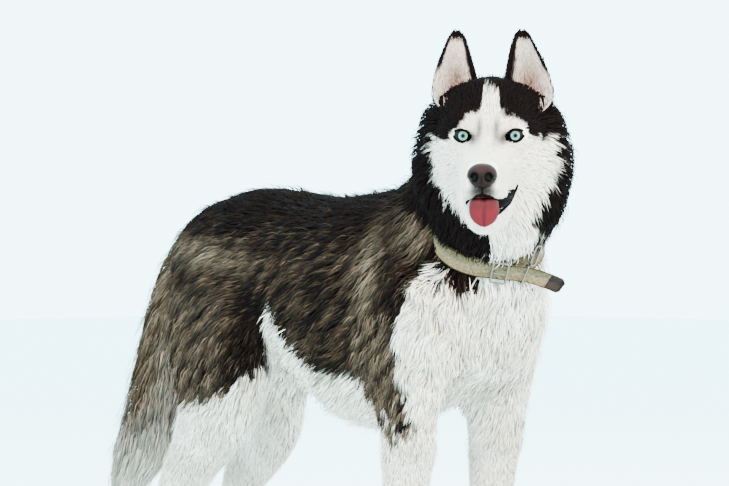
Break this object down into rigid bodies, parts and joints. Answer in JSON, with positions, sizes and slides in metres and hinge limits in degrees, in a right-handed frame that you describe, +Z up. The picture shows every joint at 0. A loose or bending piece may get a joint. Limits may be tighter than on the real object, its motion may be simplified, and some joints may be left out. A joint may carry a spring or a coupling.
{
  "type": "siberian husky",
  "caption": "Life-size standing husky model in thick winter coat, head turned to its right, mouth a little open, with a buckled collar.",
  "frame": {"origin": "on the floor, under the middle of the whole model's box", "axes": "+Z up; the dog faces -Y, its left side is +X, and its tail hangs at +Y"},
  "size_m": [0.3222, 0.8672, 0.7735],
  "materials": {
    "fur": "dense coat, black and brown over white",
    "eye": "wet glossy eyeball with a pale blue iris",
    "nose_leather": "damp pebbled nose skin",
    "tongue": "wet, soft, with a middle groove",
    "collar_felt": "felt-like webbing, matte",
    "dark_leather": "matte, worn",
    "nickel_wire": "nickel plated wire, bright"
  },
  "bodies": {
    "root": {"torso": "fur", "head": "fur", "neck": "fur", "foreleg_right": "fur", "forepaw_right": "fur", "thigh_right": "fur", "hindpaw_right": "fur", "shank_right": "fur", "foreleg_left": "fur", "forepaw_left": "fur", "thigh_left": "fur", "hindpaw_left": "fur", "shank_left": "fur", "lower_jaw": "fur", "eye_right": "eye", "eye_left": "eye", "nose": "nose_leather", "tongue": "tongue", "ear_right": "fur", "ear_left": "fur", "tail": "fur", "collar_band": "collar_felt", "collar_end": "collar_felt", "collar_tip": "dark_leather", "buckle_frame": "nickel_wire", "buckle_prong": "nickel_wire", "keeper_loop": "nickel_wire", "leash_ring": "nickel_wire"}
  },
  "joints": []
}
